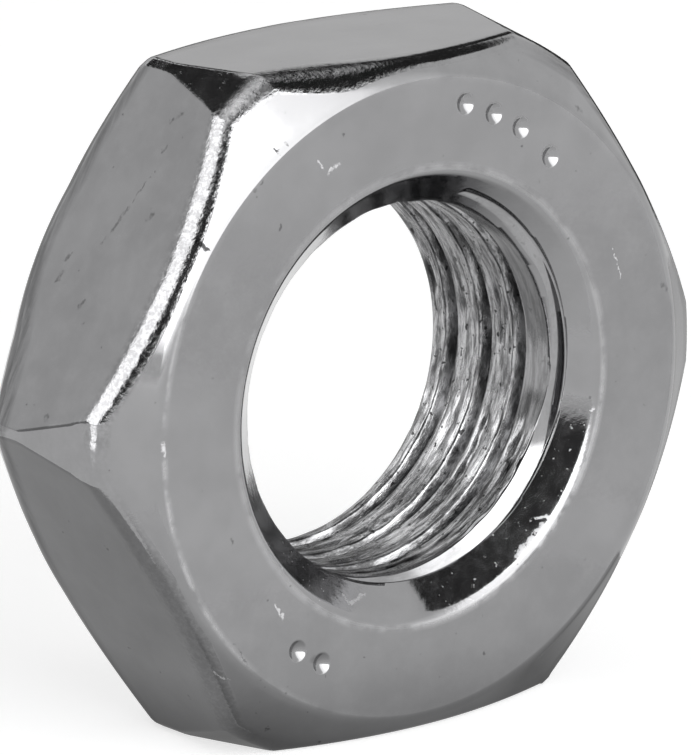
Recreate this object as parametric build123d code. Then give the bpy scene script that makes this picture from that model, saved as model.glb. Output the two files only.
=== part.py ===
from build123d import *
import math
import os

# Thin hexagon nut that locks a fitting on the threaded end of a piston rod.
# Millimetres. The nut stands on one of its flats, its thread axis lies along Y,
# its front face looks towards -Y, and the origin is the middle of the bore.

# Fine right-hand thread, M12 x 1.5
thread_diameter = 12.0
thread_pitch = 1.5
crest_depth = 0.451 * thread_pitch    # crests near the wide end of the 6H tolerance, below the nominal size

# Countersinks, a wide one on the front face and a shallow one on the back
mouth_clearance = 0.63        # how much wider than the thread the front one opens
back_sink_depth = 0.5
countersink_angle = 90.0      # included angle
lip_wear = 0.1                # width of the worn lip round each mouth
lip_angle = 30.0              # slope of the lip, from the face

# Hexagon
across_flats = 19.0
nut_height = 6.65

# Crown: the chamfer that runs from each bearing face out to the flats
bearing_inset = 0.57          # the bearing face ends this far inside the flats
crown_angle = 36.0            # slope of the crown, from the face
crown_rounding = 0.45         # softened edge between a crown and each flat

# Corners: the forging die did not quite fill them towards the front, and they are worn
corner_wear = 0.1             # how far a full corner stands inside a sharp hexagon
corner_taper_angle = 8.3
corner_taper_depth = 3.9      # depth below the front face where a corner is full

front = nut_height / 2
back = -nut_height / 2
crest_radius = thread_diameter / 2 - crest_depth
mouth_radius = (thread_diameter + mouth_clearance) / 2
bearing_radius = across_flats / 2 - bearing_inset
sharp_radius = across_flats / math.sqrt(3)
worn_radius = sharp_radius - corner_wear


def rise(run, angle):
    """Height gained over a run at an angle in degrees."""
    return run * math.tan(math.radians(angle))


def turned(points):
    """Solid turned about Z from the corners of half its section, as (radius, height) pairs."""
    outline = Polyline(*points, close=True)
    return revolve(Plane.XZ * make_face(outline.edges()), Axis.Z)


def hexagon_bar():
    """Plain hexagon blank, one corner on the X axis."""
    outline = RegularPolygon(across_flats / 2, 6, major_radius=False)
    return extrude(Pos(0, 0, back) * outline, nut_height)


def crowned_disc():
    """Disc that carries the crown of both faces, out to the sharp corners."""
    fall = rise(sharp_radius - bearing_radius, crown_angle)
    return turned([
        (0, back),
        (bearing_radius, back),
        (sharp_radius, back + fall),
        (sharp_radius, front - fall),
        (bearing_radius, front),
        (0, front),
    ])


def corner_gauge():
    """Disc that the corners just fit: worn all the way, and drawn in towards the front."""
    tapered_radius = worn_radius - rise(corner_taper_depth, corner_taper_angle)
    return turned([
        (0, back),
        (worn_radius, back),
        (worn_radius, front - corner_taper_depth),
        (tapered_radius, front),
        (0, front),
    ])


def soften_crown(blank):
    """Rounds the curved edges where a crown meets the flats."""
    def lies_on_flat(edge):
        middle = edge @ 0.5
        return abs(math.hypot(middle.X, middle.Y) - across_flats / 2) < 0.01

    curved = blank.edges().filter_by(lies_on_flat).filter_by(GeomType.LINE, reverse=True)
    return fillet(curved, crown_rounding)


def countersunk_bore():
    """Hole at the thread's crests, with a countersink and a worn lip at both ends."""
    lip_depth = rise(lip_wear, lip_angle)
    front_sink_depth = lip_depth + rise(mouth_radius - crest_radius, 90 - countersink_angle / 2)
    back_mouth_radius = crest_radius + rise(back_sink_depth - lip_depth, countersink_angle / 2)
    return turned([
        (0, back),
        (back_mouth_radius + lip_wear, back),
        (back_mouth_radius, back + lip_depth),
        (crest_radius, back + back_sink_depth),
        (crest_radius, front - front_sink_depth),
        (mouth_radius, front - lip_depth),
        (mouth_radius + lip_wear, front),
        (0, front),
    ])


blank = soften_crown(hexagon_bar() & crowned_disc()) & corner_gauge()
nut = blank - countersunk_bore()
nut = Rot(X=90) * nut         # front face to -Y, a pair of flats to the top and bottom
nut.label = "nut"

os.makedirs("parts", exist_ok=True)
export_step(nut, "parts/nut.step")
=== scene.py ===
import bpy
import bmesh
import math
import numpy as np
from mathutils import Matrix, Vector


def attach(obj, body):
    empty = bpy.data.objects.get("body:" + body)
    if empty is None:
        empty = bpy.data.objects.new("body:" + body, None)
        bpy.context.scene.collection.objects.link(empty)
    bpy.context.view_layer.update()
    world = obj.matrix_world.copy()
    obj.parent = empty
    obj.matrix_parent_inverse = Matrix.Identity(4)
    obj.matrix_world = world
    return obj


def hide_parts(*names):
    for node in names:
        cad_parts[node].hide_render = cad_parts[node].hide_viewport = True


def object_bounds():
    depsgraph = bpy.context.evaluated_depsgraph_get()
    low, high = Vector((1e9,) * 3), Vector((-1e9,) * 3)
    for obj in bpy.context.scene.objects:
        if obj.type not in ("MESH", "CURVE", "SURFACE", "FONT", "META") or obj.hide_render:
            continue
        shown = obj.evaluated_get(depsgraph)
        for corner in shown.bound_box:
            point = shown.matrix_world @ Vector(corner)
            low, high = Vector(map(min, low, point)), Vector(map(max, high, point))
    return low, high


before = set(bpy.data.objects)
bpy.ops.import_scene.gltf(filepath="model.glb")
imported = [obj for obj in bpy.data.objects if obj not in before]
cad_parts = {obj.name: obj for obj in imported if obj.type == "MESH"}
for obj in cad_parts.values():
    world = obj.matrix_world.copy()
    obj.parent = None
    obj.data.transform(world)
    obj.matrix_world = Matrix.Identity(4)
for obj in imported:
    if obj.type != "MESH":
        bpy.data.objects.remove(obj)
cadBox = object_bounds()          # the CAD box, before anything is added
print("frame loaded")

# Shapes are worked out in millimetres and written to the mesh in metres.
# A point of the nut is (radius, depth, angle): radius from the thread axis, depth behind the
# front face, angle from +X towards +Z. The corners are at 0, 60, 120 ... degrees.
toMetres = 0.001


cameraSetup = {
    "azimuth": -38.34,        # degrees round the nut, 0 looks along +Y
    "elevation": 14.74,
    "roll": -0.52,
    "distance": 0.24499,      # metres
    "aimSide": 0.0000323,     # where the nut's middle lies beside the view axis, metres
    "aimUp": 0.0000228,
    "lens": 422.55,
    "sensorWidth": 36.0,
    "shiftX": -0.0013,
    "shiftY": -0.0023,
    "clipStart": 0.01,
    "clipEnd": 20.0,
}


def makeCamera(setup):
    yaw = math.radians(-setup["azimuth"])
    pitch = math.radians(-setup["elevation"])
    roll = math.radians(setup["roll"])
    ahead = Vector((math.sin(yaw) * math.cos(pitch), math.cos(yaw) * math.cos(pitch), math.sin(pitch)))
    side = Vector((math.cos(yaw), -math.sin(yaw), 0.0))
    up = side.cross(ahead)
    sideRolled = side * math.cos(roll) + up * math.sin(roll)
    upRolled = up * math.cos(roll) - side * math.sin(roll)
    place = -(ahead * setup["distance"] + sideRolled * setup["aimSide"] + upRolled * setup["aimUp"])
    lensData = bpy.data.cameras.new("camera")
    lensData.lens = setup["lens"]
    lensData.sensor_width = setup["sensorWidth"]
    lensData.shift_x = setup["shiftX"]
    lensData.shift_y = setup["shiftY"]
    lensData.clip_start = setup["clipStart"]
    lensData.clip_end = setup["clipEnd"]
    camera = bpy.data.objects.new("camera", lensData)
    bpy.context.scene.collection.objects.link(camera)
    turn = Matrix((sideRolled, upRolled, -ahead)).transposed()
    camera.matrix_world = Matrix.Translation(place) @ turn.to_4x4()
    bpy.context.scene.camera = camera


makeCamera(cameraSetup)
print("camera placed")


# "Places" below are lists of (from, to, softness, how much): an amount between two angles in degrees.
body = {
    "acrossFlats": 19.0,
    "height": 6.65,
    "faceRadius": 8.93,       # where the flat bearing face ends
    "domeStart": 15.0,        # slope where the crown leaves the face, degrees
    "crownSlope": 36.0,       # slope that it reaches
    "crownRound": 0.77,       # radius of the dome and of the soft edge between crown and flat
    # added to the soft edge in front: on the upper left, the lower left and along the bottom
    "frontSoft": [(99, 114, 2.5, 0.70), (-176, -122, 3.0, 0.12), (-118, -42, 3.0, -0.37)],
    "backSoft": [(148, 181, 5.0, 1.00), (-181, -165, 5.0, 0.80)],
    "roundShare": 0.98,       # the most of the crown that a soft edge may take up
    "faceRound": 0.15,        # soft edge between bearing face and crown
    # radius of each corner at the front face, from +X over the top
    "cornerFront": (10.30, 10.18, 10.30, 10.30, 10.30, 10.72),
    "cornerSlope": 8.3,       # the corners widen towards the back at this angle
    "cornerFull": 10.869,
    "cornerEdge": 0.22,       # half width of the soft edge beside a corner facet, degrees
    "seamRadius": 6.72,       # the body meets the bore's rim on the face here
    # rows of the mesh, from the seam outwards
    "ringRows": 15,
    "faceEdgeRows": 3,
    "domeRows": 4,
    "crownRows": 9,
    "lipRow": 7,              # from this row of the crown on it counts as its lip
    "roundRows": 9,
    "sideRows": 18,
    "sideBend": 0.10,         # draws the side rows together in the middle
    "sideBlend": 3,           # side rows over which a column bends from the crown to its own angle
    "frontEdgeDepth": 1.30,   # about where the crowns' columns leave the side
    "backEdgeDepth": 1.40,
    "columns": 20,            # across half a flat
}

flatRadius = body["acrossFlats"] / 2
crownSlope = math.radians(body["crownSlope"])
cornerSlope = math.radians(body["cornerSlope"])

# How strongly each part is finished: everywhere, and more at places
partFinish = {
    "crownEdge": {
        "forged": (0.15, [(92, 176, 4.0, 0.85), (-165, -124, 4.0, 0.35)]),
        # painted shade: a dark line along the crown's edge on the right, where the edge reflects dark
        # surroundings
        "sootAndShade": (0.0, [(-62, 62, 3.0, 0.60)]),
        # wear with a painted highlight on the crown's edge at the upper left
        "worn": (0.0, [(115, 123, 0.8, 0.60)]),
    },
    # painted shade: the crown's lip on the right darkened the same way
    "crownLip": {"sootAndShade": (0.0, [(-62, 62, 3.0, 0.35)])},
    # painted shade: a dark line along the whole back edge
    "backEdge": {"forged": (0.15, []), "sootAndShade": (0.50, [])},
    "cornerSide": {"forged": (0.08, [(105, 135, 4.0, 0.30)]), "sunk": (0.0, [(105, 135, 4.0, 1.15)])},
    "sink": {"sunk": (0.35, [(-85, -11, 1.2, 0.95), (-168, -112, 3.0, 0.76)])},
}
# rims are worn and carry a painted highlight, most round one angle, and at least so much everywhere
rimWearAndHighlight = {"faceEdge": (-165, 0.12), "sinkEdge": (-45, 0.50)}
rimWearAndHighlightReach = 38             # degrees


def signedDegrees(angles):
    return (np.degrees(angles) + 180) % 360 - 180


def window(turn, low, high, soft):
    # 1 between two angles in degrees, 0 outside
    return 1 / (1 + np.exp(-(turn - low) / soft)) / (1 + np.exp((turn - high) / soft))


def amountAt(turn, base, places):
    return base + sum(more * window(turn, low, high, soft) for low, high, soft, more in places)


def finishOf(part, angle):
    # how much of each finish a point has
    turn = signedDegrees(angle)
    if part in rimWearAndHighlight:
        worst, least = rimWearAndHighlight[part]
        away = abs((turn - worst + 180) % 360 - 180)
        return {"worn": least + (1 - least) * math.exp(-(away / rimWearAndHighlightReach) ** 2)}
    return {name: amountAt(turn, base, places) for name, (base, places) in partFinish.get(part, {}).items()}


def cornerRadius(corner, depth):
    return min(body["cornerFront"][corner] + math.tan(cornerSlope) * depth, body["cornerFull"])


def radiusOnFlat(angle):
    # angle counted from the nearest corner
    return flatRadius / math.cos(math.pi / 6 - angle)


def columnList():
    # columns from the middle of a corner to the middle of a flat: kind and share of its width
    found = [("facet", share) for share in (0.0, 0.33, 0.66, 1.0)] + [("inner", 0.0), ("outer", 0.0)]
    return found + [("flat", k / body["columns"]) for k in range(body["columns"] + 1)]


def columnAngle(corner, kind, share, depth):
    # radians from the corner's middle; half is where the facet ends that the corner radius leaves
    half = math.pi / 6 - math.acos(flatRadius / cornerRadius(corner, depth))
    edge = math.radians(body["cornerEdge"])
    if kind == "facet":
        return share * (half - 2 * edge)
    if kind == "inner":
        return half - edge
    if kind == "outer":
        return half + edge
    return half + 2 * edge + share * (math.pi / 6 - half - 2 * edge)


def sideLine(corner, kind, angle, back):
    # the side wall in the plane through the axis: radius at depth 0 and its slope
    if kind not in ("facet", "inner"):
        return radiusOnFlat(angle), 0.0
    if back:
        return body["cornerFull"], 0.0
    return body["cornerFront"][corner], math.tan(cornerSlope)


def arc(middle, radius, start, sweep, rows, part, first=0):
    # points (radius, depth, part) on a round edge, from one slope of its surface to another
    found = []
    for k in range(first, rows + 1):
        tilt = start + sweep * k / rows
        found.append((*(middle + radius * np.array([math.sin(tilt), -math.cos(tilt)])), part))
    return found


def crownPath(corner, kind, angle, back, wanted):
    # points (radius, depth, part) from the seam out over face, crown and soft edge to the wall
    radiusAtFace, slope = sideLine(corner, kind, angle, back)
    rise = math.tan(crownSlope)
    domeStart = math.radians(body["domeStart"])
    faceEnd = body["faceRadius"] - body["faceRound"] * math.tan(domeStart / 2)
    path = []
    for k in range(body["ringRows"]):
        share = k / body["ringRows"]
        path.append((body["seamRadius"] + share * (faceEnd - body["seamRadius"]), 0.0, "plain"))
    middle = np.array([faceEnd, body["faceRound"]])
    path += arc(middle, body["faceRound"], 0.0, domeStart, body["faceEdgeRows"], "faceEdge")
    inward = np.array([-math.sin(domeStart), math.cos(domeStart)])
    middle = np.array(path[-1][:2]) + body["crownRound"] * inward
    path += arc(middle, body["crownRound"], domeStart, crownSlope - domeStart, body["domeRows"], "plain", 1)

    # where the crown would meet the wall, and how much of it the soft edge takes
    virtualRadius = path[-1][0] - path[-1][1] / rise
    depthAtEdge = (radiusAtFace - virtualRadius) * rise / (1 - slope * rise)
    edge = np.array([radiusAtFace + slope * depthAtEdge, depthAtEdge])
    turn = math.pi / 2 - math.atan(slope) - crownSlope
    first = np.array(path[-1][:2])
    room = np.linalg.norm(edge - first)
    rounding = wanted * min(1.0, body["roundShare"] * room / (wanted * math.tan(turn / 2)))
    reach = rounding * math.tan(turn / 2)
    start = edge - reach * np.array([math.cos(crownSlope), math.sin(crownSlope)])
    for k in range(1, body["crownRows"]):
        part = "crownLip" if k >= body["lipRow"] and not back else "plain"
        path.append((*(first + (start - first) * k / body["crownRows"]), part))
    middle = start + rounding * np.array([-math.sin(crownSlope), math.cos(crownSlope)])
    part = "backEdge" if back else "crownEdge"
    return path + arc(middle, rounding, crownSlope, turn, body["roundRows"], part)


def bodyColumn(kind, share, corner, side):
    # one column from the front seam over the side to the back seam: radius, depth, angle, part
    middle = math.radians(60 * corner)
    height = body["height"]
    frontAngle = columnAngle(corner, kind, share, body["frontEdgeDepth"])
    backAngle = columnAngle(corner, kind, share, height - body["backEdgeDepth"])
    turn = signedDegrees(middle + side * frontAngle)
    frontRound = amountAt(turn, body["crownRound"], body["frontSoft"])
    backRound = amountAt(turn, body["crownRound"], body["backSoft"])
    front = crownPath(corner, kind, frontAngle, False, frontRound)
    back = crownPath(corner, kind, backAngle, True, backRound)
    column = [(r, d, frontAngle, part) for r, d, part in front]
    top, low = front[-1][1], height - back[-1][1]
    onFacet = kind in ("facet", "inner")
    for k in range(1, body["sideRows"]):
        mix = k / body["sideRows"]
        depth = top + (low - top) * (mix + body["sideBend"] * math.sin(2 * math.pi * mix) / math.pi)
        angle = columnAngle(corner, kind, share, depth)
        if k < body["sideBlend"]:
            angle = frontAngle + (angle - frontAngle) * (k / body["sideBlend"])
        radius = cornerRadius(corner, depth) if onFacet else radiusOnFlat(angle)
        column.append((radius, depth, angle, "cornerSide" if onFacet else "plain"))
    column += [(r, height - d, backAngle, part) for r, d, part in back[::-1]]
    return [(min(r, radiusOnFlat(a)), d, middle + side * a, part) for r, d, a, part in column]


def bodyGrid():
    columns = columnList()
    grid = []
    for corner in range(6):
        grid += [bodyColumn(kind, share, corner, -1) for kind, share in columns[:0:-1]]
        grid += [bodyColumn(kind, share, corner, 1) for kind, share in columns[:-1]]
    return grid


bore = {
    "crestRadius": 5.3235,
    "rootRadius": 5.80,
    "pitch": 1.5,
    "grooveMouth": 0.56,      # width of the groove at the crests
    "rootFlat": 0.14,
    "grooveStart": 0.81,      # depth of the first groove's middle at angle 0
    "mouthRadius": 6.315,
    "lipRound": 0.40,
    "backSink": 0.50,         # how deep the back countersink reaches
    "columns": 432,
    "flankRows": 6,
    "crestRows": 13,
    "lipRows": 4,
    "wornRows": 2,            # rows of the lip that are worn and carry a painted highlight
    "rimRadius": 6.62,
    "backRim": 0.30,          # width of the back rim
    "weldDepth": 0.02,        # rows this close to a lip are joined to it
}
backMouthRadius = bore["crestRadius"] + bore["backSink"]

threadDetail = {
    # where the first crest starts late or early
    "late": [(-200, -22, 3.0, 0.13), (-16, 33, 3.0, -0.14)],
    "smooth": (-25, 70, 3),   # the first crest was left smooth between these angles
    "smoothTears": 0.92,      # how much of the tears is missing there
    "smoothStreaks": 0.80,    # and how much of the streaks
    "firstFlank": 0.12,       # streaks on the first flank
    "crestSoot": 0.35,
    "rootShade": 0.60,         # painted shade, added down to the root
    "seamDark": 0.75,         # darker in the torn seams
    "firstDark": 0.62,        # darker on the first crest
    "smoothLessDark": 0.34,       # less dark there where it is smooth
    # painted light: the lower part of the bore is kept less dark
    "lighterBelow": [(-135, -50, 8.0, -0.45)],
}

# torn crests: wavelengths and heights in millimetres, places and widths as shares of a crest
tears = {
    "radius": 5.3,            # where the pattern is laid out
    "drawn": 0.35,            # lengths round the bore count this much, so that the pattern is drawn out
    "grainDrawn": 0.60,
    "grainAcross": 1.60,
    "seam": {"wave": 1.3, "seed": 11, "base": 0.45, "most": 1.3,
             "place": 0.52, "width": 0.12, "height": 0.075},
    "grain": {"wave": 0.5, "seed": 12, "height": 0.010, "inSeam": 0.5},
    "wander": {"wave": 3.0, "seed": 13, "reach": 0.10},
    "side": {"wave": 2.2, "seed": 14, "away": 0.26, "width": 0.07, "height": 0.04},
    "burr": {"width": 0.10, "height": 0.02},
}


def ripple(points, wavelength, seed, count=20):
    # smooth relief between about -1 and 1 with one main wavelength
    chance = np.random.default_rng(seed)
    ways = chance.normal(size=(count, points.shape[-1]))
    ways /= np.linalg.norm(ways, axis=1, keepdims=True)
    ways *= (2 * math.pi / (wavelength * chance.uniform(0.7, 1.5, size=count)))[:, None]
    phases = chance.uniform(0, 2 * math.pi, size=count)
    return np.cos(points @ ways.T + phases).sum(-1) / math.sqrt(count)


def bell(away, width):
    return np.exp(-(away / width) ** 2)


def crestRelief(angles, depth, across):
    # torn seams along a crest; everything is drawn out along the helix
    seam, grain, wander, side, burr = [tears[name] for name in ("seam", "grain", "wander", "side", "burr")]
    level = (depth + bore["pitch"] * angles / (2 * math.pi))[:, None]
    turned = np.stack([np.cos(angles), np.sin(angles)], -1) * tears["radius"]
    drawn = np.concatenate([turned * tears["drawn"], level], -1)
    fine = np.concatenate([turned * tears["grainDrawn"], level * tears["grainAcross"]], -1)
    long = np.clip(ripple(drawn, seam["wave"], seam["seed"]) + seam["base"], 0, seam["most"])
    short = ripple(fine, grain["wave"], grain["seed"])
    middle = seam["place"] + wander["reach"] * ripple(drawn, wander["wave"], wander["seed"])
    torn = long * bell(across - middle, seam["width"])
    beside = np.clip(ripple(drawn, side["wave"], side["seed"]), 0, 1)
    beside = beside * bell(across - middle + side["away"], side["width"])
    edge = bell(min(across, 1 - across), burr["width"])
    relief = seam["height"] * torn * (1 + grain["inSeam"] * short) + side["height"] * beside
    relief = relief + grain["height"] * short + burr["height"] * edge * (1 + short)
    return relief, np.clip(torn + beside, 0, 1)


def threadRows():
    # one turn, groove to groove: offset along the axis, radius, share of the way over the crest
    mouth = bore["grooveMouth"] / 2
    root = bore["rootFlat"] / 2
    crestRadius, rootRadius = bore["crestRadius"], bore["rootRadius"]
    flank = [k / bore["flankRows"] for k in range(bore["flankRows"] + 1)]
    wide = bore["pitch"] - 2 * mouth
    rows = [(root + s * (mouth - root), rootRadius + s * (crestRadius - rootRadius), 0) for s in flank]
    rows += [(mouth + wide * k / bore["crestRows"], crestRadius, k / bore["crestRows"])
             for k in range(1, bore["crestRows"])]
    rows += [(bore["pitch"] - mouth + s * (mouth - root), crestRadius + s * (rootRadius - crestRadius), 0)
             for s in flank]
    return rows


def turnNumber(angles, depth):
    # 0 from the first groove's middle to the second one's
    level = depth + bore["pitch"] * signedDegrees(angles) / 360
    return np.floor((level - bore["grooveStart"]) / bore["pitch"] + 0.001)


def boreGrid():
    # rows follow the helix, so the crests' edges stay crisp; row n*K+k at angle 360 is row (n-1)*K+k at 0
    look = threadDetail
    rows = threadRows()
    perTurn = len(rows)
    turns = int(math.ceil(body["height"] / bore["pitch"])) + 3
    angles = 2 * math.pi * np.arange(bore["columns"] + 1) / bore["columns"]
    turn = signedDegrees(angles)
    depth, radius, tapped, sootAndShade = np.zeros((4, turns * perTurn, len(angles)))
    advance = bore["pitch"] * angles / (2 * math.pi)
    smooth = window(turn, *look["smooth"])
    lighterBelowShare = amountAt(turn, 1, look["lighterBelow"])
    for n in range(turns):
        for k, (offset, rowRadius, across) in enumerate(rows):
            i = n * perTurn + k
            depth[i] = bore["grooveStart"] + (n - 1) * bore["pitch"] + offset - advance
            radius[i] = rowRadius
            deep = (rowRadius - bore["crestRadius"]) / (bore["rootRadius"] - bore["crestRadius"])
            if across < 0.5 and k < perTurn / 2:
                shift = np.where(turnNumber(angles, depth[i]) == 0, amountAt(turn, 0, look["late"]), 0.0)
                depth[i] += (1 - deep) * (1 - across) * shift
            later = turnNumber(angles, depth[i]) > 0
            tapped[i] = np.where(later, 1.0, look["firstFlank"])
            # soot on the thread, with painted shade added towards the root and painted light in the lower
            # part of the bore
            sootAndShade[i] = np.where(later, (look["crestSoot"] + look["rootShade"] * deep) * lighterBelowShare, 0.0)
            if 0 < across < 1:
                torn = np.where(later, 1.0, 1 - look["smoothTears"] * smooth)
                relief, seam = crestRelief(angles, depth[i], across)
                radius[i] += torn * relief
                tapped[i] = np.where(later, 1.0, 1 - look["smoothStreaks"] * smooth)
                # darker in the torn seams and on the first crest
                firstTurnDark = np.where(later, 0.0, look["firstDark"] - look["smoothLessDark"] * smooth)
                sootAndShade[i] = look["seamDark"] * torn * seam + firstTurnDark
    return depth, radius, tapped, sootAndShade, angles, perTurn


def frontCone(depth):
    return bore["mouthRadius"] - depth


def backCone(depth):
    return backMouthRadius - (body["height"] - depth)


def snapToSink(depth, radius, coneAt):
    # puts one row of vertices exactly on the line where the thread runs out into a countersink
    gap = radius - coneAt(depth)
    snapped = np.zeros(depth.shape, bool)
    for i in range(depth.shape[0] - 1):
        cross = gap[i] * gap[i + 1] < 0
        share = np.where(cross, gap[i] / np.where(cross, gap[i] - gap[i + 1], 1), 0)
        newDepth = depth[i] + share * (depth[i + 1] - depth[i])
        newRadius = radius[i] + share * (radius[i + 1] - radius[i])
        low = cross & (share < 0.5) & ~snapped[i]
        high = cross & ~low & ~snapped[i + 1]
        for row, moved in ((i, low), (i + 1, high)):
            depth[row] = np.where(moved, newDepth, depth[row])
            radius[row] = np.where(moved, newRadius, radius[row])
            snapped[row] |= moved
    return snapped


class NutMesh:
    def __init__(self):
        self.points = []
        self.faces = []
        self.finishes = []        # for each point, how much of the named finishes it has

    def add(self, radius, depth, angle, finish):
        self.points.append((radius * math.cos(angle), depth - body["height"] / 2, radius * math.sin(angle)))
        self.finishes.append(finish)
        return len(self.points) - 1

    def face(self, corners):
        kept = [c for k, c in enumerate(corners) if c != corners[k - 1]]
        if len(kept) > 2:
            self.faces.append(kept)

    def band(self, a, b):
        for k in range(len(a)):
            m = (k + 1) % len(a)
            self.face([a[k], a[m], b[m], b[k]])

    def stitch(self, a, anglesA, b, anglesB):
        # triangles between two loops on one plane whose columns stand at different angles
        def nextAngle(angles, k):
            turns, k = divmod(k, len(angles))
            step = (angles[(k + 1) % len(angles)] - angles[k]) % (2 * math.pi)
            return angles[k] + 2 * math.pi * turns + step

        i = j = 0
        while i < len(a) or j < len(b):
            here = [a[i % len(a)], b[j % len(b)]]
            if j >= len(b) or (i < len(a) and nextAngle(anglesA, i) <= nextAngle(anglesB, j)):
                self.face([here[0], a[(i + 1) % len(a)], here[1]])
                i += 1
            else:
                self.face([here[0], b[(j + 1) % len(b)], here[1]])
                j += 1


def addBody(mesh):
    # returns the seams on the front and back faces, and their angles
    grid = bodyGrid()
    ids = [[mesh.add(r, d, a, finishOf(part, a)) for r, d, a, part in column] for column in grid]
    for here, there in zip(ids, ids[1:] + ids[:1]):
        for k in range(len(here) - 1):
            mesh.face([here[k], there[k], there[k + 1], here[k + 1]])
    angles = [float(column[0][2]) for column in grid]
    return [column[0] for column in ids], [column[-1] for column in ids], angles


def addLip(mesh, mouthRadius, front, angles):
    # the rim of a countersink, worn and with a painted highlight: from the flat face round into the cone
    turn = math.pi / 4
    middleRadius = mouthRadius + bore["lipRound"] * math.tan(turn / 2)
    rimRadius = bore["rimRadius"] if front else mouthRadius + bore["backRim"]
    loops = [[mesh.add(rimRadius, 0.0 if front else body["height"], a, {}) for a in angles]]
    for k in range(bore["lipRows"] + 1):
        tilt = turn * k / bore["lipRows"]
        radius = middleRadius - bore["lipRound"] * math.sin(tilt)
        depth = bore["lipRound"] - bore["lipRound"] * math.cos(tilt)
        part = "sinkEdge" if k < bore["wornRows"] else "sink"
        loops.append([mesh.add(radius, depth if front else body["height"] - depth, a, finishOf(part, a))
                      for a in angles])
    for outer, inner in zip(loops, loops[1:]):
        mesh.band(outer, inner)
    return loops[0], loops[-1], depth


def addBore(mesh):
    # returns the rims on the front and back faces, and their angles
    depth, radius, tapped, sootAndShade, angles, perTurn = boreGrid()
    creased = snapToSink(depth, radius, frontCone) | snapToSink(depth, radius, backCone)
    cone = np.maximum(frontCone(depth), backCone(depth))
    onCone = cone > radius
    radius = np.maximum(radius, cone)
    columns = bore["columns"]
    frontRim, frontMouth, lipDepth = addLip(mesh, bore["mouthRadius"], True, angles[:-1])
    backRim, backMouth, _ = addLip(mesh, backMouthRadius, False, angles[:-1])
    rows = depth.shape[0]
    ids = np.full((rows, columns + 1), -1, int)
    for j in range(columns):
        for i in range(rows):
            if depth[i, j] < lipDepth + bore["weldDepth"]:
                ids[i, j] = frontMouth[j]
            elif depth[i, j] > body["height"] - lipDepth - bore["weldDepth"]:
                ids[i, j] = backMouth[j]
            else:
                wear = {"tapped": tapped[i, j], "sootAndShade": sootAndShade[i, j]}
                finish = finishOf("sink", angles[j]) if onCone[i, j] else wear
                ids[i, j] = mesh.add(radius[i, j], depth[i, j], angles[j], finish)
    # the last column is the first one, a turn earlier
    ids[:perTurn, columns] = frontMouth[0]
    ids[perTurn:, columns] = ids[:-perTurn, 0]
    for j in range(columns):
        for i in range(rows - 1):
            a, b, c, d = ids[i, j], ids[i, j + 1], ids[i + 1, j + 1], ids[i + 1, j]
            whole = len({a, b, c, d}) == 4
            # a crease that crosses a face splits it
            if whole and creased[i, j] and creased[i + 1, j + 1]:
                mesh.face([a, b, c])
                mesh.face([a, c, d])
            elif whole and creased[i + 1, j] and creased[i, j + 1]:
                mesh.face([a, b, d])
                mesh.face([b, c, d])
            else:
                mesh.face([a, b, c, d])
    return frontRim, backRim, list(angles[:-1])


punchMarks = {
    # x, z on the front face
    "places": [(1.55, 8.05), (2.55, 7.62), (3.50, 7.08), (4.55, 6.10), (-4.45, -6.35), (-3.62, -6.86)],
    "radius": 0.30,
    "depth": 0.13,
    "patch": 1.5,             # the mesh is made finer out to this many radii
    "cuts": 5,
}


def punch(work):
    # round punch marks in the front face, on a finer patch of mesh
    face = -body["height"] / 2 * toMetres
    for x, z in punchMarks["places"]:
        spot = Vector((x, 0, z)) * toMetres
        near = []
        for f in work.faces:
            middle = f.calc_center_median()
            away = (Vector((middle.x, 0, middle.z)) - spot).length
            if abs(middle.y - face) < 1e-6 and away < punchMarks["patch"] * punchMarks["radius"] * toMetres:
                near.append(f)
        edges = {e for f in near for e in f.edges}
        bmesh.ops.subdivide_edges(work, edges=list(edges), cuts=punchMarks["cuts"], use_grid_fill=True)
        for v in work.verts:
            away = math.hypot(v.co.x - spot.x, v.co.z - spot.z) / toMetres / punchMarks["radius"]
            if abs(v.co.y - face) <= 1e-7 and away < 1:
                v.co.y += punchMarks["depth"] * (1 - away ** 2) * toMetres


finishNames = ("forged", "worn", "sunk", "tapped", "sootAndShade")


def makeNut():
    mesh = NutMesh()
    frontSeam, backSeam, seamAngles = addBody(mesh)
    frontRim, backRim, rimAngles = addBore(mesh)
    order = np.argsort(np.mod(seamAngles, 2 * math.pi))
    angles = [float(np.mod(seamAngles[k], 2 * math.pi)) for k in order]
    mesh.stitch([frontSeam[k] for k in order], angles, frontRim, rimAngles)
    mesh.stitch([backSeam[k] for k in order], angles, backRim, rimAngles)
    data = bpy.data.meshes.new("nutVisual")
    data.from_pydata([tuple(toMetres * c for c in p) for p in mesh.points], [], mesh.faces)
    for name in finishNames:
        layer = data.attributes.new(name, "FLOAT", "POINT")
        layer.data.foreach_set("value", [f.get(name, 0.0) for f in mesh.finishes])
    work = bmesh.new()
    work.from_mesh(data)
    bmesh.ops.remove_doubles(work, verts=work.verts, dist=1e-7)
    bmesh.ops.recalc_face_normals(work, faces=work.faces)
    punch(work)
    bmesh.ops.triangulate(work, faces=[f for f in work.faces if len(f.verts) > 4])
    for face in work.faces:
        face.smooth = True
    loose = [v for v in work.verts if not v.link_faces]
    bmesh.ops.delete(work, geom=loose, context="VERTS")
    triangles = sum(len(f.verts) - 2 for f in work.faces)
    openEdges = sum(len(e.link_faces) != 2 for e in work.edges)
    print("nut mesh:", len(work.verts), "points,", triangles, "triangles,", openEdges, "open edges")
    work.to_mesh(data)
    work.free()
    nut = bpy.data.objects.new("nutVisual", data)
    bpy.context.scene.collection.objects.link(nut)
    return nut


nut = makeNut()
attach(nut, "root")
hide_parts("nut")
print("nut modelled")


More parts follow.
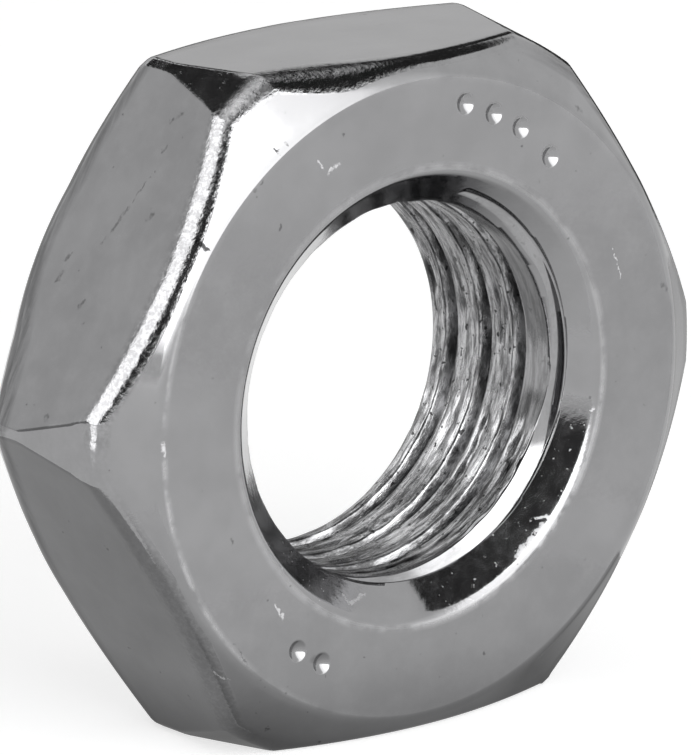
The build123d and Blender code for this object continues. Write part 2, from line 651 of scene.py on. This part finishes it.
plating = {
    "colour": (0.30, 0.30, 0.305),
    # what is added to the roughness
    "tappedRoughness": 0.14,
    "wornRoughness": 0.25,
    "forgedRoughness": 0.05,
    "nickedRoughness": 0.35,
    "tornRoughness": 0.03,
    # heights in millimetres
    "peelHeight": 0.0020,
    "grainHeights": {"forged": ("fine", 0.022), "sunk": ("fine", 0.004), "tapped": ("streak", 0.022)},
    # how strong the marks are
    "wornTone": 0.5,
    "nickedTone": 0.9,
    "gougedTone": 0.9,
    "fleckShare": 0.8,
    "ragged": 0.30,           # how far the edges of rubs and nicks wander, millimetres
    "raggedScale": 5.0,
    "streakLength": 0.85,     # streaks in the thread: scale round the bore, per radian
    # noises: scale per millimetre, detail, roughness
    "noises": {
        "peel": (1.6, 2.0, 0.55),
        "fine": (4.5, 4.0, 0.60),
        "cloud": (0.5, 5.0, 0.60),
        "speck": (3.2, 2.0, 0.55),
        "pit": (5.5, 1.0, 0.55),
        "dapple": (7.0, 3.0, 0.70),
        "crumb": (7.0, 4.0, 0.75),
        "wear": (1.1, 4.0, 0.55),
        "scratch": (2.0, 6.0, 0.70),
        "streak": (4.5, 5.0, 0.75),
    },
    # what they are turned into: between two values of the noise, from one result to the other
    "ranges": {
        "cloud": (0.30, 0.70, 0.94, 1.06),
        "speck": (0.73, 0.79, 1.0, 0.55),
        "streak": (0.38, 0.60, 0.48, 1.75),
        "pit": (0.66, 0.72, 1.0, 0.15),
        "sootAndShadeDark": (0.38, 0.62, 0.85, 0.30),
        "dapple": (0.35, 0.70, 0.72, 1.10),
        "rub": (0.35, 0.60, 0.0, 0.45),
        "torn": (0.70, 1.30, 0.0, 1.0),
        "fleck": (0.345, 0.415, 0.0, 1.0),
        "nick": (0.36, 0.48, 0.0, 1.0),
        "wear": (0.36, 0.58, 0.0, 1.0),
        "scratch": (0.35, 0.70, 0.072, 0.135),        # this is the roughness without marks
    },
    # dark rubs: two ends in millimetres and half a width
    "rubs": [
        ((-8.13, 0.42, 4.91), (-7.50, -0.10, 6.05), 0.07),
        ((-7.85, 0.20, 5.40), (-7.02, -0.40, 6.83), 0.05),
        ((-8.78, 1.58, 3.80), (-8.68, 1.50, 4.05), 0.10),
        ((-8.46, 1.60, 4.30), (-8.36, 1.50, 4.52), 0.09),
        ((-9.02, 0.25, 3.36), (-8.95, 0.15, 3.52), 0.10),
        ((-7.60, -1.06, 5.80), (-7.52, -1.12, 5.98), 0.10),
        ((-6.22, -0.30, 8.22), (-6.10, -0.62, 8.43), 0.08),
        ((-6.66, -0.45, 7.48), (-6.60, -0.56, 7.60), 0.08),
        ((-10.62, -0.32, 0.66), (-10.58, -0.25, 0.72), 0.10),
        ((-5.75, -3.33, 6.72), (-5.45, -3.30, 6.95), 0.07),
        ((-4.82, -3.20, 7.92), (-4.60, -3.27, 7.84), 0.06),
        ((5.62, -3.22, 7.32), (5.76, -3.16, 7.18), 0.10),
        ((8.60, -3.33, 1.80), (8.72, -3.33, 1.68), 0.10),
        ((-6.65, -3.33, -5.75), (-6.10, -3.33, -6.50), 0.04),
    ],
    # deep dark ones
    "gouges": [
        ((-7.60, -3.06, 5.60), (-7.27, -3.30, 5.33), 0.10),
        ((-4.98, -3.20, 7.76), (-4.80, -3.24, 7.64), 0.07),
    ],
    # bright nicks, the same way
    "nicks": [
        ((-3.56, -3.33, 7.19), (-3.40, -3.33, 6.98), 0.06),
        ((-3.22, -3.33, 6.88), (-2.86, -3.33, 7.03), 0.08),
        ((6.77, -3.33, 3.17), (7.06, -3.33, 2.23), 0.035),
        ((-5.20, -3.33, -4.92), (-4.93, -3.33, -5.31), 0.06),
        ((-7.05, -2.85, -6.58), (-6.58, -2.98, -6.86), 0.07),
        ((-8.93, -3.33, 0.24), (-8.90, -3.33, 0.02), 0.11),
        ((4.30, -3.22, -4.45), (3.45, -3.20, -5.12), 0.14),
        ((4.55, -3.24, -4.20), (4.25, -3.00, -4.25), 0.08),
        ((-2.44, -2.78, -5.22), (-2.36, -2.97, -5.48), 0.06),
        ((-2.30, -2.94, -5.47), (-1.62, -2.66, -5.41), 0.09),
    ],
}


def addNode(tree, kind, inputs, **settings):
    made = tree.nodes.new(kind)
    for name, value in settings.items():
        setattr(made, name, value)
    for name, value in inputs.items():
        socket = made.inputs[name]
        if isinstance(value, bpy.types.NodeSocket):
            tree.links.new(value, socket)
        else:
            socket.default_value = value
    return made.outputs


def mathNode(tree, operation, a, b=0.0, c=0.0):
    return addNode(tree, "ShaderNodeMath", {0: a, 1: b, 2: c}, operation=operation)[0]


def times(tree, a, b):
    return mathNode(tree, "MULTIPLY", a, b)


def timesPlus(tree, a, b, c):
    return mathNode(tree, "MULTIPLY_ADD", a, b, c)


def vectorNode(tree, operation, a, b):
    second = "Scale" if operation == "SCALE" else 1
    return addNode(tree, "ShaderNodeVectorMath", {0: a, second: b}, operation=operation)


def rangeNode(tree, value, low, high, toLow, toHigh):
    limits = {"Value": value, "From Min": low, "From Max": high, "To Min": toLow, "To Max": toHigh}
    return addNode(tree, "ShaderNodeMapRange", limits, interpolation_type="SMOOTHSTEP")["Result"]


def attributeNode(tree, name):
    return addNode(tree, "ShaderNodeAttribute", {}, attribute_name=name)["Fac"]


def noiseNode(tree, place, scale, detail, roughness):
    inputs = {"Vector": place, "Scale": scale, "Detail": detail, "Roughness": roughness}
    return addNode(tree, "ShaderNodeTexNoise", inputs)["Fac"]


def rubGroup():
    # 1 on a line between two points, fading to 0 at half its width
    group = bpy.data.node_groups.new("rubLine", "ShaderNodeTree")
    for name in ("place", "start", "end"):
        group.interface.new_socket(name, in_out="INPUT", socket_type="NodeSocketVector")
    group.interface.new_socket("half", in_out="INPUT", socket_type="NodeSocketFloat")
    group.interface.new_socket("mask", in_out="OUTPUT", socket_type="NodeSocketFloat")
    given = group.nodes.new("NodeGroupInput").outputs
    result = group.nodes.new("NodeGroupOutput").inputs
    fromStart = vectorNode(group, "SUBTRACT", given["place"], given["start"])[0]
    line = vectorNode(group, "SUBTRACT", given["end"], given["start"])[0]
    along = vectorNode(group, "DOT_PRODUCT", fromStart, line)["Value"]
    whole = vectorNode(group, "DOT_PRODUCT", line, line)["Value"]
    share = addNode(group, "ShaderNodeMath", {0: along, 1: whole}, operation="DIVIDE", use_clamp=True)[0]
    foot = vectorNode(group, "SCALE", line, share)[0]
    away = vectorNode(group, "DISTANCE", fromStart, foot)["Value"]
    ratio = mathNode(group, "DIVIDE", away, given["half"])
    group.links.new(rangeNode(group, ratio, 1.0, 0.3, 0.0, 1.0), result["mask"])
    return group


def lineMask(tree, group, place, lines):
    mask = 0.0
    for start, end, half in lines:
        line = tree.nodes.new("ShaderNodeGroup")
        line.node_tree = group
        tree.links.new(place, line.inputs["place"])
        line.inputs["start"].default_value = start
        line.inputs["end"].default_value = end
        line.inputs["half"].default_value = half
        mask = mathNode(tree, "MAXIMUM", line.outputs["mask"], mask)
    return mask


def makePlating(look):
    material = bpy.data.materials.new("platedSteel")
    material.use_nodes = True
    tree = material.node_tree
    shader = tree.nodes["Principled BSDF"]
    shader.inputs["Metallic"].default_value = 1.0
    metres = addNode(tree, "ShaderNodeTexCoord", {})["Object"]
    place = vectorNode(tree, "SCALE", metres, 1 / toMetres)[0]
    finish = {name: attributeNode(tree, name) for name in finishNames}

    # a second set of coordinates that runs along the thread: round the bore, then along its axis
    parts = addNode(tree, "ShaderNodeSeparateXYZ", {0: place})
    angle = mathNode(tree, "ARCTAN2", parts["Z"], parts["X"])
    level = timesPlus(tree, angle, bore["pitch"] / (2 * math.pi), parts["Y"])
    along = times(tree, angle, look["streakLength"])
    drawn = addNode(tree, "ShaderNodeCombineXYZ", {"X": along, "Y": level, "Z": 0.0})[0]

    noise = {name: noiseNode(tree, drawn if name == "streak" else place, *values)
             for name, values in look["noises"].items()}

    def ranged(name, value):
        return rangeNode(tree, value, *look["ranges"][name])

    def onlyOn(mask, factor):
        # the factor where the mask is 1, and 1 where it is 0
        return timesPlus(tree, mathNode(tree, "SUBTRACT", factor, 1.0), mask, 1.0)

    # relief, in millimetres
    height = times(tree, noise["peel"], look["peelHeight"])
    for name, (grain, most) in look["grainHeights"].items():
        height = timesPlus(tree, times(tree, noise[grain], finish[name]), most, height)
    relief = {"Strength": 1.0, "Distance": toMetres, "Height": height}
    tree.links.new(addNode(tree, "ShaderNodeBump", relief)["Normal"], shader.inputs["Normal"])

    # marks: rubs, gouges and nicks with ragged edges, flecks where the countersink is torn
    group = rubGroup()
    shake = {"Vector": place, "Scale": look["raggedScale"], "Detail": 2.0}
    shake = addNode(tree, "ShaderNodeTexNoise", shake)["Color"]
    shake = vectorNode(tree, "SUBTRACT", shake, (0.5, 0.5, 0.5))[0]
    shake = vectorNode(tree, "SCALE", shake, look["ragged"])[0]
    ragged = vectorNode(tree, "ADD", place, shake)[0]
    marks = {name: lineMask(tree, group, ragged, look[name]) for name in ("rubs", "gouges", "nicks")}
    rubbed = times(tree, marks["rubs"], ranged("rub", noise["fine"]))
    rubbed = mathNode(tree, "MAXIMUM", rubbed, times(tree, marks["gouges"], look["gougedTone"]))
    torn = ranged("torn", finish["sunk"])
    fleck = times(tree, torn, ranged("fleck", times(tree, noise["crumb"], noise["fine"])))
    nicked = times(tree, marks["nicks"], ranged("nick", noise["crumb"]))
    nicked = mathNode(tree, "MAXIMUM", nicked, times(tree, fleck, look["fleckShare"]))
    worn = times(tree, finish["worn"], ranged("wear", noise["wear"]))

    # tone: cloudy plating, darker streaks, pits, and soot with painted shade in the thread, a painted dark
    # line along the crown's right edge and the back edge, dappled forging skin, marks
    tone = times(tree, ranged("cloud", noise["cloud"]), ranged("speck", noise["speck"]))
    thread = times(tree, ranged("streak", noise["streak"]), ranged("pit", noise["pit"]))
    tone = times(tree, tone, onlyOn(finish["tapped"], thread))
    # soot and painted shade: the thread's soot, and the painted dark line along the edges
    sootAndShadeDark = times(tree, finish["sootAndShade"], ranged("sootAndShadeDark", noise["streak"]))
    tone = times(tree, tone, mathNode(tree, "SUBTRACT", 1.0, sootAndShadeDark))
    tone = times(tree, tone, onlyOn(finish["forged"], ranged("dapple", noise["dapple"])))
    tone = times(tree, tone, mathNode(tree, "SUBTRACT", 1.0, rubbed))
    # brighter on worn rims: wear, and a painted highlight along the rims
    tone = timesPlus(tree, worn, look["wornTone"], tone)
    tone = timesPlus(tree, nicked, look["nickedTone"], tone)
    tree.links.new(vectorNode(tree, "SCALE", look["colour"], tone)[0], shader.inputs["Base Color"])

    # roughness: polished outside, rough where it was tapped, broken up by faint scratches
    rough = ranged("scratch", noise["scratch"])
    rough = timesPlus(tree, finish["tapped"], look["tappedRoughness"], rough)
    rough = timesPlus(tree, worn, look["wornRoughness"], rough)
    rough = timesPlus(tree, finish["forged"], look["forgedRoughness"], rough)
    rough = timesPlus(tree, nicked, look["nickedRoughness"], rough)
    rough = timesPlus(tree, torn, look["tornRoughness"], rough)
    tree.links.new(rough, shader.inputs["Roughness"])
    return material


nut.data.materials.append(makePlating(plating))
print("plating made")


studio = {
    "floorColour": (0.60, 0.60, 0.60, 1.0),
    "floorRoughness": 0.9,
    "floorGlow": 0.66,        # what the floor adds to its lit colour in the picture and in reflections
    "floorSize": 6.0,         # half its width, metres
    "worldLight": 0.40,       # what the world lights other surfaces with
    "lampDistance": 1.10,     # metres
    "cardDistance": 0.70,
    "panelDistance": 0.90,    # the glowing sheets beside the lamps
    "nearDistance": 0.12,     # small cards close to the nut
    "roofHeight": 0.60,       # level cards above the nut
    "stripHeight": 0.50,
    "dark": 0.05,             # light of the dark cards; a white surface has 1
    "darkest": 0.04,
}
white = (1.0, 1.0, 1.0, 1.0)
black = (0.0, 0.0, 0.0, 1.0)


def wayTo(azimuth, elevation):
    # direction from the nut, with the azimuth counted from the front face towards +X
    a, e = math.radians(azimuth), math.radians(elevation)
    return Vector((math.sin(a) * math.cos(e), -math.cos(a) * math.cos(e), math.sin(e)))


def around(corners, distance=studio["cardDistance"]):
    # points at one distance, each given by the direction in which the nut sees it
    return [wayTo(a, e) * distance for a, e in corners]


def overhead(height, corners):
    # points on a level sheet, the same way
    return [wayTo(a, e) * (height / math.sin(math.radians(e))) for a, e in corners]


def onFloor(corners, lift):
    # points just above the floor, given in millimetres
    return [Vector((x * toMetres, y * toMetres, cadBox[0].z + lift * toMetres)) for x, y in corners]


def seenRays(tree):
    # 1 for camera, glossy and transmission rays
    rays = addNode(tree, "ShaderNodeLightPath", {})
    first = mathNode(tree, "MAXIMUM", rays["Is Camera Ray"], rays["Is Glossy Ray"])
    return mathNode(tree, "MAXIMUM", first, rays["Is Transmission Ray"])


def makeWorld():
    world = bpy.data.worlds.new("studio")
    world.use_nodes = True
    tree = world.node_tree
    back = tree.nodes["Background"]
    back.inputs["Color"].default_value = white
    levels = {"Value": seenRays(tree), "To Min": studio["worldLight"], "To Max": 1.0}
    tree.links.new(addNode(tree, "ShaderNodeMapRange", levels)["Result"], back.inputs["Strength"])
    bpy.context.scene.world = world


def addSheet(name, points, faces, colour, roughness):
    # a matt sheet that glows white; returns the sheet, its node tree and the socket of its glow
    data = bpy.data.meshes.new(name)
    data.from_pydata([tuple(p) for p in points], [], faces)
    thing = bpy.data.objects.new(name, data)
    bpy.context.scene.collection.objects.link(thing)
    material = bpy.data.materials.new(name)
    material.use_nodes = True
    shader = material.node_tree.nodes["Principled BSDF"]
    shader.inputs["Base Color"].default_value = colour
    shader.inputs["Roughness"].default_value = roughness
    shader.inputs["Specular IOR Level"].default_value = 0.0
    shader.inputs["Emission Color"].default_value = white
    data.materials.append(material)
    return thing, material.node_tree, shader.inputs["Emission Strength"]


def makeFloor():
    size = studio["floorSize"]
    corners = [(x * size, y * size, cadBox[0].z) for x, y in ((-1, -1), (1, -1), (1, 1), (-1, 1))]
    colour, roughness = studio["floorColour"], studio["floorRoughness"]
    _, tree, glowing = addSheet("floor", corners, [(0, 1, 2, 3)], colour, roughness)
    tree.links.new(times(tree, seenRays(tree), studio["floorGlow"]), glowing)


def softBox(name, azimuth, elevation, edges, brightness, onOthers=True):
    # a lamp panel facing the nut from that direction; its left, right, low and high edges are
    # shares of its distance
    distance = studio["lampDistance"]
    left, right, low, high = edges
    light = bpy.data.lights.new(name, "AREA")
    light.shape = "RECTANGLE"
    light.size = (right - left) * distance
    light.size_y = (high - low) * distance
    light.energy = brightness * math.pi * light.size * light.size_y
    lamp = bpy.data.objects.new(name, light)
    bpy.context.scene.collection.objects.link(lamp)
    ahead = wayTo(azimuth, elevation)
    side = Vector((math.cos(math.radians(azimuth)), math.sin(math.radians(azimuth)), 0.0))
    up = ahead.cross(side)
    if up.z < 0:
        up = -up
    middle = (ahead + side * (left + right) / 2 + up * (low + high) / 2) * distance
    turn = Matrix((side, ahead.cross(side), ahead)).transposed()
    lamp.matrix_world = Matrix.Translation(middle) @ turn.to_4x4()
    lamp.visible_camera = False
    lamp.visible_diffuse = onOthers


def hide(card, shadow):
    # only the metal sees it; with shadow it still keeps light off what lies behind it
    card.visible_camera = False
    card.visible_diffuse = False
    card.visible_shadow = shadow


def flag(name, points, level, shadow=True):
    # a card with one level of light
    card, _, glowing = addSheet(name, points, [tuple(range(len(points)))], black, 1.0)
    glowing.default_value = level
    hide(card, shadow)


def glow(name, low, high, tones, highTones=None, shadow=True):
    # a sheet between two rows of points; both rows have the same tones unless two lists are given
    count = len(low)
    faces = [(k, k + 1, count + k + 1, count + k) for k in range(count - 1)]
    sheet, tree, glowing = addSheet(name, low + high, faces, black, 1.0)
    shade = sheet.data.attributes.new("shade", "FLOAT", "POINT")
    shade.data.foreach_set("value", tones + (highTones or tones))
    tree.links.new(attributeNode(tree, "shade"), glowing)
    hide(sheet, shadow)


makeWorld()
makeFloor()
dark, darkest = studio["dark"], studio["darkest"]
far, near = studio["panelDistance"], studio["nearDistance"]

# lamps and bright sheets in front and on the left: the white of the crown and of the thread
softBox("frontLamp", -13, 24, (-0.36, 0.36, -0.33, 0.52), 4.2)
softBox("leftLamp", -96, 25, (-0.80, 0.85, -0.46, 0.60), 2.6, onOthers=False)
glow("lowFrontSheet", around([(-30, 1), (-12, -1), (6, -5)], far),
     around([(-30, 5.7), (-12, 6.2), (6, 6)], far), [0.9] * 3, [3.3] * 3)
glow("rightFrontSheet", around([(5, -3), (18, -7), (31, -11), (33, -11), (46, 20)], far),
     around([(5, 51), (18, 51.5), (31, 51.5), (34, 51), (48, 48)], far), [3.3, 3.1, 2.7, 1.5, 1.05])

# the dark roof, whose edges draw the dark band under the top flat, and the bright strip beside it
roofCorners = [(-3, 54), (2, 50), (10, 51), (20, 51.5), (34, 51.5), (50, 50), (62, 50), (75, 52), (90, 38),
               (130, 34), (140, 30), (150, 40), (133, 45), (125, 52), (110, 60), (100, 72), (150, 78),
               (180, 70), (-120, 80), (-19, 68), (-15, 56)]
stripCorners = [(-62, 56), (-30, 55), (-17, 56), (-20, 68), (160, 84), (178, 69), (-160, 70), (-100, 68)]
flag("roofCard", overhead(studio["roofHeight"], roofCorners), darkest)
flag("stripCard", overhead(studio["stripHeight"], stripCorners), 1.8)

# dark cards: the seam beside the crown's left edge, the countersink, the upper left corner
glow("gapCard", around([(-37.5, 8), (-36.5, 12), (-31.5, 23), (-24, 34.5), (-12, 43.5), (2.5, 49.5)]),
     around([(-74, 2), (-74, 12), (-71, 26), (-66, 46), (-30, 55), (2.5, 55)]), [dark] * 6)
glow("sinkCard", around([(-45, 41), (-30, 41.5), (-20, 45), (-10, 49.5), (0, 53), (15, 57)], near),
     around([(-45, 47), (-32, 48.5), (-20, 53.5), (-10, 57.5), (0, 60.5), (15, 63)], near), [dark] * 6)
cornerCorners = [(166, 34.5), (186, 34.5), (200, 35), (214, 34), (209, 56), (192, 69), (168, 62)]
flag("cornerCard", around(cornerCorners, near), darkest)

# what the flats see behind the nut, from its left to its right
flag("edgeCard", around([(-117, -10), (-140, -10), (-140, 16), (-117, 12)]), 0.35)
glow("backSheet", around([(150, 24), (180, 26), (206, 30)], far),
     around([(150, 42), (180, 39), (206, 36)], far), [1.6, 1.8, 1.9])
flag("backCard", around([(-139, 0), (-162, 0), (-170, 50), (-139, 50)]), 0.84)
flag("topCard", around([(122, 2), (160, 2), (160, 21.5), (122, 21.5)]), 0.76)
flag("ledgeCard", around([(122, 21.5), (156, 21.5), (152, 42), (126, 38)]), darkest)

# a low wall close behind the nut, given by azimuth and height in millimetres
wallLine = [(106, 30), (120, 34), (130, 34), (133, 22), (148, 24), (180, 28), (198, 28)]
wallFoot = -9.3
glow("wallCard", [wayTo(a, 0) * near + Vector((0, 0, wallFoot * toMetres)) for a, _ in wallLine],
     [wayTo(a, 0) * near + Vector((0, 0, z * toMetres)) for a, z in wallLine],
     [dark] * 4 + [0.20, 0.55, 0.60], shadow=False)

# sheets on the floor, seen only in the metal, for what the lower flats and the crown see there: painted
# shadow close round, under and behind the nut, painted shade on the floor to the front and the right, and a
# painted bright patch on the left
lifts = {"low": 0.01, "middle": 0.02, "top": 0.03}      # millimetres
glow("shadeSheet", onFloor([(-18, -4.2), (-18, 3.3), (-24, 20)], lifts["low"]),
     onFloor([(14, -4.2), (14, 3.3), (14, 20)], lifts["low"]), [0.52, 0.46, 0.60], shadow=False)
underTones = [0.46, 0.20, 0.24, 0.33, 0.58, 0.92, 1.0]
fadeTones = [0.46, 0.48, 0.50]
underRows = [7, 3.3, -2.6]
underLow = [(-5.2, y) for y in underRows] + [(-9, -3.0), (-14, -4.4), (-18, -9), (-18, -17)]
underHigh = [(5.4, y) for y in underRows] + [(14, -3.0), (14, -4.4), (14, -9), (14, -17)]
glow("underShadowSheet", onFloor(underLow, lifts["middle"]), onFloor(underHigh, lifts["middle"]),
     underTones, shadow=False)
glow("underShadowLeft", onFloor([(-7.2, y) for y in underRows], lifts["middle"]),
     onFloor([(-5.2, y) for y in underRows], lifts["middle"]), fadeTones, underTones[:3], shadow=False)
glow("underShadowRight", onFloor([(5.4, y) for y in underRows], lifts["middle"]),
     onFloor([(10.5, y) for y in underRows], lifts["middle"]), underTones[:3], fadeTones, shadow=False)
glow("frontShadeSheet", onFloor([(19, -12), (32, -12), (60, -12)], lifts["middle"]),
     onFloor([(19, -48), (32, -48), (60, -48)], lifts["middle"]), [1.0, 0.90, 0.88], [1.0] * 3, shadow=False)
tailCorners = [(-47, 5.6), (-81, 22), (-82, -20.4), (-47.5, -5)]
rightCorners = [(20, 0.5), (84, 11), (76, 33), (20.6, 4.9)]
rearCorners = [(11, 3.5), (18.5, 3.7), (45, 19), (118, 60), (60, 118), (36, 60), (40, 30), (30, 14), (14, 9)]
flag("tailHighlightSheet", onFloor(tailCorners, lifts["middle"]), 4.0, shadow=False)
flag("rightShadeSheet", onFloor(rightCorners, lifts["middle"]), 0.72, shadow=False)
flag("rearShadowSheet", onFloor(rearCorners, lifts["top"]), 0.06, shadow=False)
print("studio set")

scene = bpy.context.scene
scene.view_settings.view_transform = "Standard"

bpy.context.view_layer.update()
